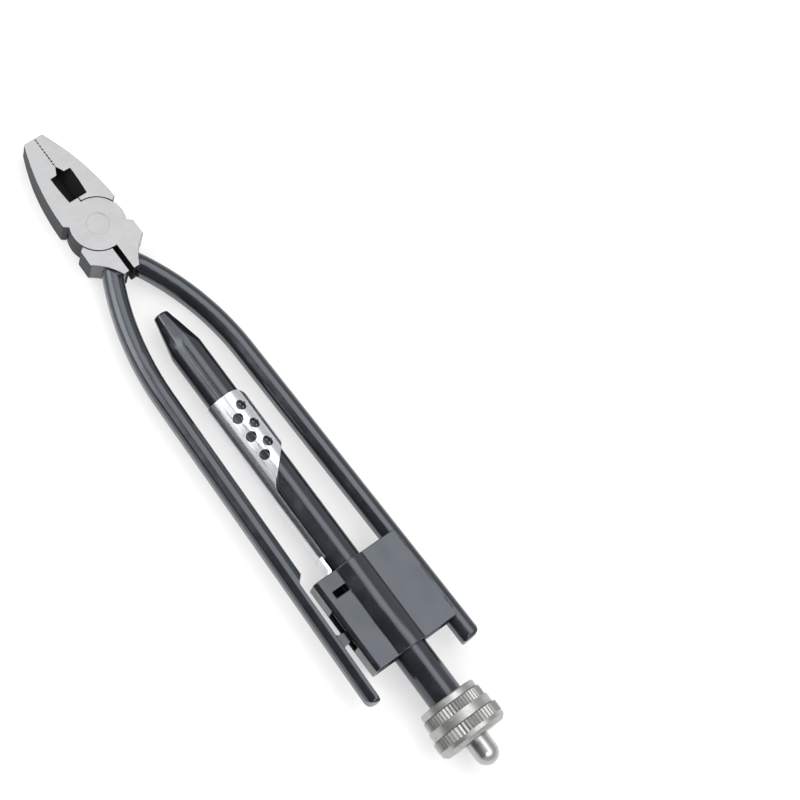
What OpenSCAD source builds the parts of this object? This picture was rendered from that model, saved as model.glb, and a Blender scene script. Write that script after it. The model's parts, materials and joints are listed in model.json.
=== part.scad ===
// Safety wire pliers: two lap-jointed levers, a spring-return spiral twister in a barrel
// between the handles, and a sliding latch that holds the handles shut.
// X points along the tool to the jaws, Y to the handle with the hook, Z to the front face.

/* [Head] */
// Distance from the pivot to the jaw tips
jaw_l = 38; // [34:0.5:42]
// Thickness of the head
head_t = 11.6; // [10.5:0.1:13]
// Radius of the two discs of the lap joint
disc_r = 10; // [9.5:0.1:10.5]
// Distance from the pivot to the outer corner of each jaw's heel
heel_x = 5.4; // [5:0.1:6.5]
// Half width of the jaws at the heel
heel_half = 10.85; // [10.6:0.05:11.5]
// Angle of the heel's end face
heel_slant = 35; // [25:1:45]
// Half width of the front lever's jaw where its nose is rounded
front_nose_half = 4.9; // [4:0.1:5.5]
// Half width of the rear lever's jaw where its nose is rounded
rear_nose_half = 3.7; // [3:0.1:5]
// Corner radius of the noses
nose_r = 1.3; // [0.8:0.1:2]
// Radius of the jaws' curved outer edges
jaw_arc_r = 90; // [70:1:130]
// Length of the thinned nose on the back face
nose_relief_l = 12; // [8:0.5:16]
// Depth of the thinned nose at the tip
nose_relief_t = 2.6; // [1.5:0.1:3.5]
// Distance from the pivot to the start of the shoulders
shoulder_x0 = 5.5; // [5:0.1:6]
// Distance from the pivot to the outer corner of the shoulders
shoulder_x1 = 11.4; // [10.5:0.1:12.5]
// Half width of the shoulders
shoulder_half = 11.1; // [10.8:0.1:11.6]
// Distance from the pivot to the end of the ground faces
head_tail_x = 20.3; // [19:0.1:21.5]
// Half width of the ground faces at that end
head_tail_half = 3.3; // [3:0.1:4]
// Radius of the hollow between shoulder and handle
flank_r = 20; // [15:0.5:30]
// Width of the slit between the two shoulders
slit_w = 1.9; // [1.2:0.1:2.4]

/* [Cutter and serrations] */
// Distance from the pivot to the front of the cutter window
window_x1 = 22.4; // [21:0.1:23]
// Distance from the pivot to the back of the cutter window
window_x0 = 11.7; // [11.2:0.1:13]
// Half width of the window at its front
window_half1 = 4.25; // [3.5:0.05:4.6]
// Half width of the window at its back
window_half0 = 3.5; // [3:0.05:4]
// Thickness of the cutting edges
edge_land = 0.6; // [0.3:0.1:1]
// Half width of the wire notch in front of the window
notch_half = 1.45; // [1:0.05:1.8]
// Length of the wire notch
notch_l = 2.7; // [2:0.1:3.2]
// Distance between the serrations
serration_pitch = 1.35; // [0.9:0.05:2]
// Depth of the serrations
serration_d = 0.3; // [0.2:0.05:0.5]

/* [Pivot] */
// Radius of the rivet's shank
rivet_r = 4; // [3:0.1:4.8]
// Radius of the rivet's head on the back
rivet_head_r = 5.9; // [5.2:0.1:6.6]
// Height of the rivet's head
rivet_head_t = 2.2; // [1.5:0.1:3]

/* [Handles] */
// Length from the jaw tips to the ends of the handles
tool_l = 228.8; // [220:0.2:236]
// Width of the handles
handle_w = 7.2; // [6.6:0.1:7.8]
// Thickness of the handles
handle_t = 8.6; // [8:0.1:9.2]
// Corner radius of the handles' section
handle_r = 3.2; // [2:0.05:3.25]
// Distance from the pivot to the point where the handles become straight
bend_x = 64; // [60:0.5:68]
// Distance from the tool's axis to the handles at that point
bend_y = 16.8; // [16.4:0.1:17.4]
// Angle at which the straight handles spread
splay = 1.42; // [1:0.02:1.8]
// Radius of the front handle's bend
front_bend_r = 100; // [97:1:112]
// Radius of the rear handle's bend
rear_bend_r = 113; // [105:1:130]
// Outer corner radius of the handles' ends
end_r_out = 3.6; // [2:0.1:4]
// Inner corner radius of the handles' ends
end_r_in = 1.2; // [0.8:0.1:2]
// Radius of the handles' ends on the front and back faces
end_r_face = 2; // [1:0.1:3]
// Length by which the rear handle is shorter than the front handle
rear_short = 0.9; // [0:0.1:2]
// Depth of the relief inside the rear handle
relief_d = 3; // [1.4:0.1:3.2]
// Distance from the start of the relief to the front of the housing
relief_lead = 6.7; // [4:0.1:10]
// Length of the ramp into the relief
relief_ramp = 4; // [2:0.5:6]

/* [Barrel] */
// Outer diameter of the barrel
barrel_d = 12.2; // [11.8:0.1:12.6]
// Wall of the barrel
barrel_wall = 1.1; // [0.9:0.05:1.3]
// Distance from the pivot to the barrel's nose
barrel_x = 37.9; // [36:0.1:40]
// Length of the swaged nose
swage_l = 15; // [12:0.2:18]
// Radius of the nose at its tip
swage_tip_r = 3.2; // [2.8:0.1:3.6]
// Edge radius of the nose at its tip
swage_edge_r = 1.3; // [0.6:0.1:1.5]
// Number of flats on the swaged nose
swage_n = 8; // [6:1:10]
// Radius of the hole in the nose
nose_hole_r = 1; // [0.6:0.1:1.4]
// Outer diameter of the tail tube
tail_d = 12.7; // [12.4:0.1:13]
// Length of the tail tube inside the knob's mouth
tail_in = 4.6; // [3.5:0.1:6]
// Distance from the joint of the two tubes to the back of the housing
joint_back = 5; // [3:0.1:7]
// Length of the spigot that joins the tail tube to the barrel
spigot_l = 8; // [5:0.5:10]
// Wall of the spigot
spigot_wall = 1.2; // [1:0.05:1.3]

/* [Housing] */
// Distance from the pivot to the front of the housing
house_x0 = 145.7; // [143:0.1:147]
// Length of the housing
house_l = 36; // [34.5:0.1:38]
// Sheet thickness of the housing
sheet_t = 1.1; // [0.9:0.05:1.3]
// Distance from the axis to the outside of the housing's side wall
wall_y = 14.9; // [14.5:0.1:15.4]
// Outside bend radius of the folded sheet
fold_r = 1.7; // [1.4:0.1:2.2]
// Radius of the hollow where the plates rise to the channel
channel_fillet_r = 2; // [1:0.1:2.5]
// Distance from the front of the housing to the hook's slot
slot_front = 10.9; // [9.5:0.1:11.8]
// Length of the hook's slot
slot_l = 14.6; // [13.8:0.1:16]
// Half height of the hook's slot
slot_half = 3.4; // [2.6:0.1:3.8]
// Length of the punched slot in the front plate, across the tool
punch_l = 5.6; // [4:0.1:6.5]
// Width of the punched slot
punch_w = 2.5; // [1.5:0.1:3]
// Distance from the front of the housing to the middle of the punched slot
punch_front = 7; // [5:0.1:9]
// Radius of the weld beads on the housing
bead_r = 0.7; // [0.5:0.05:1]

/* [Latch] */
// Distance from the pivot to the front edge of the thumb sleeve
sleeve_x0 = 75.4; // [70:0.1:78]
// Distance from the pivot to the back end of the sleeve's free edge
sleeve_x1 = 98.2; // [95:0.1:101]
// Distance from the pivot to the point where the slanted edge meets the strip
slant_x = 111; // [107:0.1:114]
// Radius between the slanted edge and the strip
slant_r = 6; // [3:0.5:8]
// Half height of the strip
strip_half = 5; // [4.6:0.1:5.4]
// Half width of the gap between the sleeve's free edges
sleeve_gap = 2.4; // [1.5:0.1:3]
// Corner radius of the sleeve's front edge
sleeve_r = 5.5; // [2:0.1:6]
// Diameter of the holes in the sleeve
grip_hole_d = 3.8; // [3:0.1:4.2]
// Distance between the holes
grip_pitch = 7.7; // [7:0.1:8]
// Angle of each row of holes from the front and back faces
grip_angle = 15.5; // [14:0.5:18]
// Distance from the sleeve's front edge to the first hole
grip_first = 5.9; // [5.5:0.1:7]
// Distance from the strip's end to the start of the jog
jog_lead = 4; // [3.5:0.1:4.5]
// Length of the jog between the strip and the web
jog_l = 7.5; // [6.5:0.1:8.5]
// Travel of the latch
latch_travel = 4.5; // [3.5:0.1:4.6]
// Half height of the catch window in the strip
catch_half = 2.2; // [1.9:0.1:2.3]
// Thickness of the hook
hook_t = 3; // [2.6:0.1:3.2]
// Width of the hook's stem
hook_stem = 4.2; // [3.4:0.1:4.4]
// Depth of the hook's nose
hook_nose_t = 2.6; // [2:0.1:2.8]
// Distance from the hook's stem to the back of its slot
stem_back = 3; // [2.6:0.1:3.4]

/* [Twister] */
// Travel of the knob
pull_l = 80; // [60:1:84]
// Length of one full turn of the spiral
lead = 32; // [28:1:40]
// Outer radius of the spindle's flutes
spindle_r = 3.3; // [3:0.05:3.5]
// Depth of the flutes
flute_d = 0.8; // [0.5:0.05:1]
// Radius of the journal at the spindle's inner end
journal_r = 1.7; // [1.5:0.05:2]
// Distance from the pivot to the spindle's inner end
spindle_x = 60; // [58:0.5:62]
// Length of the drive nut
nut_l = 10; // [8:0.5:12]
// Thickness of the spring seat
seat_t = 3; // [2:0.1:4]
// Wire diameter of the return spring
wire_d = 0.8; // [0.6:0.05:0.9]

/* [Knob] */
// Distance from the back of the housing to the mouth of the knob
knob_back = 20.3; // [18.5:0.1:22]
// Radius of the rim at the mouth
rim_r = 10.75; // [10.5:0.05:11]
// Radius of the front knurled band
knurl1_r = 11.35; // [11.2:0.05:11.6]
// Radius of the smooth band
band_r = 11.95; // [11.7:0.05:12.1]
// Radius of the rear knurled band
knurl2_r = 12.8; // [12.4:0.05:13.2]
// Inner radius of the mouth
mouth_r = 8.4; // [8:0.1:9]
// Length of the knob
knob_l = 16.7; // [15.5:0.1:17.5]
// Depth of the knurls
knurl_d = 0.35; // [0.2:0.05:0.5]
// Number of ridges on each knurled band
knurl_n = 54; // [40:1:64]
// Radius of the end post
post_r = 4.3; // [3.6:0.05:4.6]
// Length of the end post
post_l = 9.9; // [8:0.1:12]

/* [Fits] */
// Clearance between pieces that turn or slide on each other
run_gap = 0.06; // [0.03:0.01:0.09]
// Clearance between pieces that move past each other
move_gap = 0.3; // [0.2:0.05:0.4]
// Clearance between pieces that are fixed together
fix_gap = 0.03; // [0.01:0.01:0.05]

/* [Hidden] */

$fn = 64;
// Overshoot of cutting shapes
over = 1;

// The knob sets the lowest point, the jaws and the post set the ends
house_x1 = house_x0 + house_l;
knob_x = house_x1 + knob_back;
post_end_x = knob_x + knob_l + post_l;
origin_shift = [(post_end_x - jaw_l) / 2, 0, knurl2_r];

head_half = head_t / 2;
jaw_gap = run_gap;
barrel_r = barrel_d / 2;
bore_r = barrel_r - barrel_wall;
tail_r = tail_d / 2;
handle_end_x = tool_l - jaw_l;
handle_l = (handle_end_x - bend_x) / cos(splay);
// Length over which a handle's straight part lies inside the end of its bend
bar_lap = 1;
// Step by which that part is thinner than the bend
bar_step = 0.015;
// Distance from the pivot to the buried root of a handle's bend
root_x = 14;

// Slot for the hook and the relief beside it
slot_x0 = house_x0 + slot_front;
slot_x1 = slot_x0 + slot_l;
relief_x = house_x0 - relief_lead;

// Housing section: the plates lie on the handle's crowns, the channels clear both tubes
plate_in = handle_t / 2;
plate_out = plate_in + sheet_t;
wall_in_y = wall_y - sheet_t;
channel_in_r = tail_r + fix_gap;
channel_out_r = channel_in_r + sheet_t;

// Barrel and tail tube meet inside the housing
tube_joint_x = house_x1 - joint_back;
tail_end_x = knob_x + tail_in;
spigot_x = tube_joint_x - spigot_l;
spigot_r = bore_r - fix_gap;
spigot_bore_r = spigot_r - spigot_wall;

// Latch: a sleeve on the barrel and a web that runs just inside the housing's side wall
sleeve_in_r = barrel_r + move_gap;
sleeve_out_r = sleeve_in_r + sheet_t;
web_out_y = wall_in_y - move_gap;
web_in_y = web_out_y - sheet_t;
web_half = plate_in - move_gap;
strip_x1 = house_x0 - latch_travel - 2.7 * move_gap;
jog_x0 = strip_x1 + jog_lead;
jog_x1 = jog_x0 + jog_l;

// Hook: its nose passes under the web with the moving clearance
hook_nose_y = web_in_y - move_gap;
hook_nose_l = latch_travel + 0.5;
stem_x1 = slot_x1 - stem_back;
stem_x0 = stem_x1 - hook_stem;
nose_tip_x = stem_x0 - hook_nose_l;
catch_x0 = nose_tip_x - 4 * move_gap;
catch_x1 = stem_x1 + 4 * move_gap;
web_end_x = catch_x1 + 3;

// Twister stack from the nose to the knob
seat_x = spindle_x + 1.6;
washer_t = 0.8;
flute_x0 = seat_x + seat_t + run_gap;
spring_x0 = seat_x + seat_t;
spring_x1 = spigot_x - washer_t;
// As many turns as still leave the knob its travel when the wire lies close
spring_turns = floor((spring_x1 - spring_x0 - pull_l) / (1.1 * wire_d));
nut_x1 = tail_end_x - 0.4;
nut_x0 = nut_x1 - nut_l;
mouth_d = tail_end_x + move_gap - knob_x;
shank_r = spindle_r - flute_d - fix_gap;
shank_x0 = knob_x + mouth_d;
shank_x1 = knob_x + knob_l - 1.5;
stud_r = shank_r - 1;
stud_l = 7;
// Points round the spiral's section and steps in each of its turns
spiral_points = 16;
spiral_slices = 24;

function arc_centre(p, q, r) =
    let (m = (p + q) / 2, d = q - p, half = norm(d) / 2, n = [d[1], -d[0]] / norm(d))
    m + n * sqrt(r * r - half * half);

function arc_y(c, r, x) = c[1] + sqrt(r * r - (x - c[0]) * (x - c[0]));

// Place of a point along a handle's straight part, seen from the tool's axis
function bar_s(x) = (x - bend_x) / cos(splay);
function bar_y(x) = bend_y + (x - bend_x) * tan(splay);

module placed() {
    translate(origin_shift) children();
}

// Turns a shape drawn along +Z so that it runs to the knob from distance x
module along(x) {
    translate([-x, 0, 0]) rotate([0, -90, 0]) children();
}

// The rear lever is the front lever turned over about the tool's axis
module turned_over(rear) {
    rotate([rear ? 180 : 0, 0, 0]) children();
}

// Frame of a handle's straight part: x along the handle, y outwards
module bar_frame() {
    translate([-bend_x, -bend_y, 0]) rotate([0, 0, 180 + splay]) children();
}

module rounded_rect(size, r) {
    square([size[0] - 2 * r, size[1]], center = true);
    square([size[0], size[1] - 2 * r], center = true);
    for (sx = [-1, 1], sy = [-1, 1])
        translate([sx * (size[0] / 2 - r), sy * (size[1] / 2 - r)]) circle(r);
}

module jaw_outline(nose_half) {
    nose_p = [jaw_l - nose_r, nose_half];
    centre = arc_centre([heel_x, heel_half], nose_p, jaw_arc_r);
    intersection() {
        translate(centre) circle(jaw_arc_r, $fn = 256);
        union() {
            square([jaw_l - nose_r, 2 * heel_half]);
            square([jaw_l, nose_half - nose_r]);
            translate([jaw_l - nose_r, nose_half - nose_r]) circle(nose_r + fix_gap);
        }
        polygon([
            [heel_x - heel_half * tan(heel_slant), jaw_gap],
            [heel_x + heel_half * tan(heel_slant), 2 * heel_half],
            [jaw_l + over, 2 * heel_half],
            [jaw_l + over, jaw_gap],
        ]);
    }
}

module shoulder_outline() {
    corner = [-shoulder_x1, -shoulder_half];
    tail = [-head_tail_x, -head_tail_half];
    difference() {
        polygon([
            [0, -slit_w / 2],
            [-shoulder_x0 + 2, -disc_r + 1.5],
            [-shoulder_x0, -shoulder_half + 0.1],
            corner,
            [-head_tail_x, -shoulder_half],
            [-head_tail_x, -slit_w / 2],
        ]);
        translate(arc_centre(tail, corner, flank_r)) circle(flank_r, $fn = 128);
    }
}

module cutter_window() {
    rise = head_half - edge_land / 2;
    for (side = [-1, 1])
        intersection() {
            rotate([90, 0, 90]) linear_extrude(window_x1)
                polygon([
                    [-over, side * edge_land / 2],
                    [window_half1 * (1 + over / rise), side * (head_half + over)],
                    [-over, side * (head_half + over)],
                ]);
            translate([0, -over, -head_t]) linear_extrude(2 * head_t)
                polygon([
                    [window_x0, 0],
                    [window_x1, 0],
                    [window_x1, window_half1 + over],
                    [window_x0, window_half0 + over],
                ]);
        }
}

module wire_notch() {
    translate([0, 0, -head_t]) linear_extrude(2 * head_t)
        polygon([
            [window_x1 - over, -over],
            [window_x1 - over, notch_half],
            [window_x1, notch_half],
            [window_x1 + notch_l, 0],
            [window_x1 + notch_l, -over],
        ]);
}

module serrations() {
    first = window_x1 + notch_l + serration_pitch;
    for (x = [first : serration_pitch : jaw_l - serration_pitch / 2])
        translate([x, jaw_gap, 0]) rotate([0, 0, 45])
            cube([serration_d * sqrt(2), serration_d * sqrt(2), 2 * head_t], center = true);
}

// Thinned nose, always on the tool's back face
module nose_relief(rear) {
    side = rear ? 1 : -1;
    rotate([90, 0, 0]) linear_extrude(4 * heel_half, center = true)
        polygon([
            [jaw_l - nose_relief_l, side * (head_half + fix_gap)],
            [jaw_l + over, side * (head_half - nose_relief_t)],
            [jaw_l + over, side * (head_half + over)],
            [jaw_l - nose_relief_l, side * (head_half + over)],
        ]);
}

module lever_head(rear) {
    difference() {
        union() {
            translate([0, 0, -head_half]) linear_extrude(head_t) {
                jaw_outline(rear ? rear_nose_half : front_nose_half);
                shoulder_outline();
            }
            cylinder(h = head_half, r = disc_r);
        }
        translate([0, 0, -head_half - over])
            cylinder(h = head_half + over + run_gap / 2, r = disc_r + 3 * run_gap);
        translate([0, jaw_gap, 0]) cutter_window();
        translate([0, jaw_gap, 0]) wire_notch();
        serrations();
        nose_relief(rear);
    }
}

module bar_section(shrink = 0) {
    rounded_rect([handle_w - 2 * shrink, handle_t - 2 * shrink], handle_r - shrink);
}

// Straight part of a handle in plan, with rounded end corners
module bar_end_outline(l) {
    half = handle_w / 2;
    start = bar_lap + over;
    translate([-start, -half]) square([l - end_r_out + start, handle_w]);
    translate([-start, -half]) square([l - end_r_in + start, half]);
    translate([-start, end_r_in - half]) square([l + start, handle_w - end_r_in - end_r_out]);
    translate([l - end_r_out, half - end_r_out]) circle(end_r_out);
    translate([l - end_r_in, end_r_in - half]) circle(end_r_in);
}

// The same part from the side
module bar_end_side(l) {
    half = handle_t / 2;
    start = bar_lap + over;
    translate([-start, -half]) square([l - end_r_face + start, handle_t]);
    translate([-start, end_r_face - half]) square([l + start, handle_t - 2 * end_r_face]);
    for (side = [-1, 1])
        translate([l - end_r_face, side * (half - end_r_face)]) circle(end_r_face);
}

// Handle bar: a bend out of the head, kept clear of the slit, and a straight part
module handle_bar(rear) {
    r = rear ? rear_bend_r : front_bend_r;
    l = handle_l - (rear ? rear_short : 0);
    root_angle = asin((bend_x + r * sin(splay) - root_x) / r);
    difference() {
        translate([-bend_x - r * sin(splay), r * cos(splay) - bend_y, 0])
            rotate([0, 0, splay - 90])
                rotate_extrude(angle = root_angle - splay, $fn = 256)
                    translate([r, 0]) bar_section();
        translate([-bend_x / 2, -slit_w / 2 - fix_gap, -handle_t])
            cube([bend_x / 2, handle_w, 2 * handle_t]);
    }
    bar_frame() intersection() {
        translate([-bar_lap, 0, 0]) rotate([90, 0, 90]) linear_extrude(l + bar_lap)
            bar_section(bar_step);
        translate([0, 0, -handle_t]) linear_extrude(2 * handle_t) bar_end_outline(l);
        rotate([90, 0, 0]) linear_extrude(2 * handle_w, center = true) bar_end_side(l);
    }
}

// Relief on the inner side of the rear handle, in front of the hook
module handle_relief() {
    s0 = bar_s(relief_x);
    inner = -handle_w / 2;
    bar_frame() translate([0, 0, -handle_t]) linear_extrude(2 * handle_t)
        polygon([
            for (i = [0 : 12])
                [s0 + relief_ramp * i / 12, inner - fix_gap + (relief_d + fix_gap) * (1 - cos(15 * i)) / 2],
            [handle_l + over, inner + relief_d],
            [handle_l + over, inner - over],
            [s0, inner - over],
        ]);
}

module front_lever() {
    color("dimgray") placed() difference() {
        union() {
            lever_head(false);
            handle_bar(false);
        }
        cylinder(h = 2 * head_t, r = rivet_r + fix_gap, center = true);
    }
}

module rear_lever() {
    color("dimgray") placed() turned_over(true) difference() {
        union() {
            lever_head(true);
            handle_bar(true);
        }
        cylinder(h = 2 * head_t, r = rivet_r + run_gap, center = true);
        translate([0, 0, head_half - rivet_head_t - run_gap])
            cylinder(h = head_t, r = rivet_head_r + run_gap);
        handle_relief();
    }
}

module pivot_rivet() {
    color("silver") placed() {
        translate([0, 0, -head_half]) cylinder(h = head_t, r = rivet_r);
        translate([0, 0, -head_half]) cylinder(h = rivet_head_t, r = rivet_head_r);
    }
}

// Hook on the rear handle, drawn in the handle's own frame with y towards the tool's axis
module hook_outline() {
    foot = -handle_w / 2 + relief_d;
    nose = hook_nose_y - bar_y(stem_x0);
    tip = nose - hook_nose_t;
    s0 = bar_s(stem_x0);
    s1 = bar_s(stem_x1);
    tip_s = bar_s(nose_tip_x);
    polygon([
        [s0, foot],
        [s1, foot],
        [s1, tip + 1.2],
        [s1 - 1.2, tip],
        [tip_s + 0.8, tip],
        [tip_s, tip + 0.8],
        [tip_s, nose],
        [s0, nose],
    ]);
}

module latch_hook() {
    color("black") placed() turned_over(true) bar_frame()
        translate([0, 0, -hook_t / 2]) linear_extrude(hook_t) hook_outline();
}

module hook_weld() {
    foot = -handle_w / 2 + relief_d;
    leg = 1.2;
    color("black") placed() turned_over(true) bar_frame()
        for (s = [[bar_s(stem_x0) - fix_gap, -1], [bar_s(stem_x1) + fix_gap, 1]])
            translate([s[0], foot - fix_gap, -hook_t / 2]) linear_extrude(hook_t)
                polygon([[0, 0], [s[1] * leg, 0], [0, -leg]]);
}

module house_section_outer() {
    edge_y = -bar_y((house_x0 + house_x1) / 2);
    translate([edge_y, -plate_out]) square([wall_y - fold_r - edge_y, 2 * plate_out]);
    translate([0, fold_r - plate_out]) square([wall_y, 2 * (plate_out - fold_r)]);
    for (side = [-1, 1])
        translate([wall_y - fold_r, side * (plate_out - fold_r)]) circle(fold_r);
    circle(channel_out_r);
    channel_hollows();
}

// Block between the plates and the channel, hollowed where they meet
module channel_hollows() {
    reach = channel_out_r + channel_fillet_r;
    rise = plate_out + channel_fillet_r;
    out = sqrt(reach * reach - rise * rise);
    difference() {
        square([2 * out, 2 * rise * (channel_out_r - fix_gap) / reach], center = true);
        for (sx = [-1, 1], sy = [-1, 1])
            translate([sx * out, sy * rise]) circle(channel_fillet_r - fix_gap / 2);
    }
}

module house_section_inner() {
    inner_r = fold_r - sheet_t;
    edge_y = -bar_y(house_x1) - handle_w;
    translate([edge_y, -plate_in]) square([wall_in_y - inner_r - edge_y, 2 * plate_in]);
    translate([0, inner_r - plate_in]) square([wall_in_y, 2 * (plate_in - inner_r)]);
    for (side = [-1, 1])
        translate([wall_in_y - inner_r, side * (plate_in - inner_r)]) circle(inner_r);
    circle(channel_in_r);
}

module housing_shell() {
    punch_x = house_x0 + punch_front;
    punch_y = wall_in_y - 2.6;
    color("black") placed() difference() {
        along(house_x0) rotate([0, 0, 90]) linear_extrude(house_l) difference() {
            house_section_outer();
            house_section_inner();
        }
        translate([-slot_x1, wall_in_y - fold_r, -slot_half])
            cube([slot_x1 - slot_x0, 2 * fold_r + sheet_t, 2 * slot_half]);
        translate([-punch_x - punch_w / 2, punch_y - punch_l, 0]) cube([punch_w, punch_l, 2 * plate_out]);
    }
}

// Weld beads along both plates' edges on the handle's crowns
module housing_welds() {
    edge_y = -bar_y((house_x0 + house_x1) / 2);
    // Place and length of each bead as shares of the housing's length
    beads = [[0.08, 0.125], [0.44, 0.15], [0.8, 0.11]] * house_l;
    color("black") placed()
        for (side = [-1, 1], bead = beads)
            translate([-house_x0 - bead[0], edge_y - fix_gap, side * plate_in])
                difference() {
                    rotate([0, -90, 0]) cylinder(h = bead[1], r = bead_r);
                    translate([-bead[1] - over, 0, -over]) cube([bead[1] + 2 * over, over, 2 * over]);
                    translate([-bead[1] - over, -over, side > 0 ? fix_gap - 2 * over : -fix_gap])
                        cube([bead[1] + 2 * over, 2 * over, 2 * over]);
                }
}

// Profile of the barrel: x is the radius, y the distance behind the nose
module barrel_outer(l) {
    polygon([
        [0, 0],
        for (a = [0 : 15 : 90]) [
            swage_tip_r - swage_edge_r * (1 - sin(a)),
            swage_edge_r * (1 - cos(a)),
        ],
        [barrel_r, swage_l],
        [barrel_r, l],
        [0, l],
    ]);
}

// Flats along the swaged nose, one of them turned up towards the rear handle
module swage_flats() {
    slope = atan((barrel_r - swage_tip_r) / (swage_l - swage_edge_r));
    step = 360 / swage_n;
    for (i = [0 : swage_n - 1])
        rotate([0, 0, (i + 1.15) * step]) translate([swage_tip_r - 0.3, 0, swage_edge_r]) rotate([0, slope, 0])
            translate([0, -barrel_r, -swage_l]) cube([barrel_r, barrel_d, 3 * swage_l]);
}

module barrel() {
    l = tube_joint_x - barrel_x;
    color("black") placed() along(barrel_x) difference() {
        rotate_extrude() barrel_outer(l);
        swage_flats();
        translate([0, 0, -over]) cylinder(h = l, r = nose_hole_r);
        rotate_extrude() polygon([
            [0, barrel_wall + 1],
            [swage_tip_r - barrel_wall - 0.4, barrel_wall + 1],
            [bore_r, swage_l + 1],
            [bore_r, l + over],
            [0, l + over],
        ]);
    }
}

module nut_tube() {
    l = tail_end_x - tube_joint_x;
    color("black") placed() along(tube_joint_x + fix_gap) difference() {
        union() {
            cylinder(h = l - fix_gap, r = tail_r);
            translate([0, 0, -spigot_l]) cylinder(h = spigot_l + over, r = spigot_r);
        }
        translate([0, 0, -spigot_l - over]) cylinder(h = l + spigot_l, r = spigot_bore_r);
        translate([0, 0, nut_x0 - tube_joint_x - fix_gap]) cylinder(h = l, r = bore_r);
    }
}

// Outline of the thumb sleeve and its strip in plan
module sleeve_outline() {
    side = sleeve_out_r + over;
    strip_y = sqrt(sleeve_out_r * sleeve_out_r - strip_half * strip_half);
    slant = atan2(strip_y + sleeve_out_r, slant_x - sleeve_x1);
    reach = slant_r * tan(slant / 2);
    hollow_x = -slant_x - reach;
    difference() {
        polygon([
            [-sleeve_x0, -side],
            [-sleeve_x1, -side],
            [-sleeve_x1, -sleeve_out_r],
            [reach * cos(slant) - slant_x, strip_y - reach * sin(slant)],
            [hollow_x, strip_y],
            [-strip_x1, strip_y],
            [-strip_x1, side],
            [-sleeve_x0, side],
        ]);
        translate([hollow_x, strip_y - slant_r]) circle(slant_r - fix_gap);
        translate([-sleeve_x0 - sleeve_r, -sleeve_out_r]) difference() {
            square([sleeve_r + over, sleeve_r]);
            translate([0, sleeve_r]) circle(sleeve_r);
        }
        translate([-sleeve_x0 - sleeve_r - over, -side - over]) square([sleeve_r + 2 * over, 2 * over]);
    }
}

// The strip's web jogs out from the barrel to the inside of the housing's side wall
module web_outline() {
    polygon([
        [-strip_x1 + 1, sleeve_in_r],
        [-strip_x1 + 1, sleeve_out_r],
        [-jog_x0, sleeve_out_r],
        [-jog_x1 + 1, web_out_y - 0.4],
        [-jog_x1 - 0.6, web_out_y],
        [-web_end_x, web_out_y],
        [-web_end_x, web_in_y],
        [-jog_x1 - 1, web_in_y],
        [-jog_x0 - 0.6, sleeve_in_r],
    ]);
}

module latch_slide() {
    row_shift = grip_pitch * 0.44;
    color("gainsboro") placed() difference() {
        union() {
            intersection() {
                along(sleeve_x0) difference() {
                    cylinder(h = strip_x1 - sleeve_x0, r = sleeve_out_r);
                    translate([0, 0, -over]) cylinder(h = strip_x1 - sleeve_x0 + 2 * over, r = sleeve_in_r);
                }
                translate([0, 0, -2 * sleeve_out_r]) linear_extrude(4 * sleeve_out_r) sleeve_outline();
            }
            translate([0, 0, -web_half]) linear_extrude(2 * web_half) web_outline();
        }
        translate([-strip_x1, -2 * sleeve_out_r, -sleeve_gap])
            cube([strip_x1 - sleeve_x0 + over, 2 * sleeve_out_r, 2 * sleeve_gap]);
        translate([-catch_x1, web_in_y - over, -catch_half])
            cube([catch_x1 - catch_x0, sheet_t + 2 * over, 2 * catch_half]);
        for (face = [0, 180], i = [0 : 2], row = [0, 1]) {
            turn = (row == 0 ? 1 : -1) * (face == 0 ? 1 : -1) * grip_angle + face;
            translate([-sleeve_x0 - grip_first - i * grip_pitch - row * row_shift, 0, 0])
                rotate([turn, 0, 0]) cylinder(h = 2 * sleeve_out_r, d = grip_hole_d);
        }
    }
}

// Straight knurl as a band of ridges
module knurl_band(r, l) {
    linear_extrude(l) polygon([
        for (i = [0 : 2 * knurl_n - 1])
            let (a = i * 180 / knurl_n, rr = i % 2 == 0 ? r : r - knurl_d)
                [rr * cos(a), rr * sin(a)]
    ]);
}

module pull_knob() {
    rim_l = 2.4;
    knurl_l = 3.7;
    band_l = 3.3;
    groove = 0.35;
    knurl1_z = rim_l + groove;
    band_z = knurl1_z + knurl_l;
    knurl2_z = band_z + band_l + groove;
    edge_z = knurl2_z + knurl_l;
    edge_r = knurl2_r - knurl_d / 2;
    chamfer = 1.4;
    color("silver") placed() along(knob_x) difference() {
        union() {
            rotate_extrude($fn = 96) polygon([
                [0, 0],
                [rim_r - 0.4, 0],
                [rim_r, 0.4],
                [rim_r, rim_l],
                [rim_r - knurl_d, knurl1_z],
                [rim_r - knurl_d, band_z],
                [band_r, band_z],
                [band_r, band_z + band_l],
                [band_r - knurl_d, knurl2_z],
                [band_r - knurl_d, edge_z],
                [edge_r, edge_z],
                [edge_r, knob_l - chamfer],
                [edge_r - chamfer, knob_l],
                [0, knob_l],
            ]);
            translate([0, 0, knurl1_z]) knurl_band(knurl1_r, knurl_l);
            translate([0, 0, knurl2_z]) knurl_band(knurl2_r, knurl_l);
        }
        translate([0, 0, -over]) cylinder(h = mouth_d + over, r = mouth_r);
        cylinder(h = shank_x1 - knob_x, r = shank_r + fix_gap);
        cylinder(h = knob_l + over, r = stud_r + fix_gap);
    }
}

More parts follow.
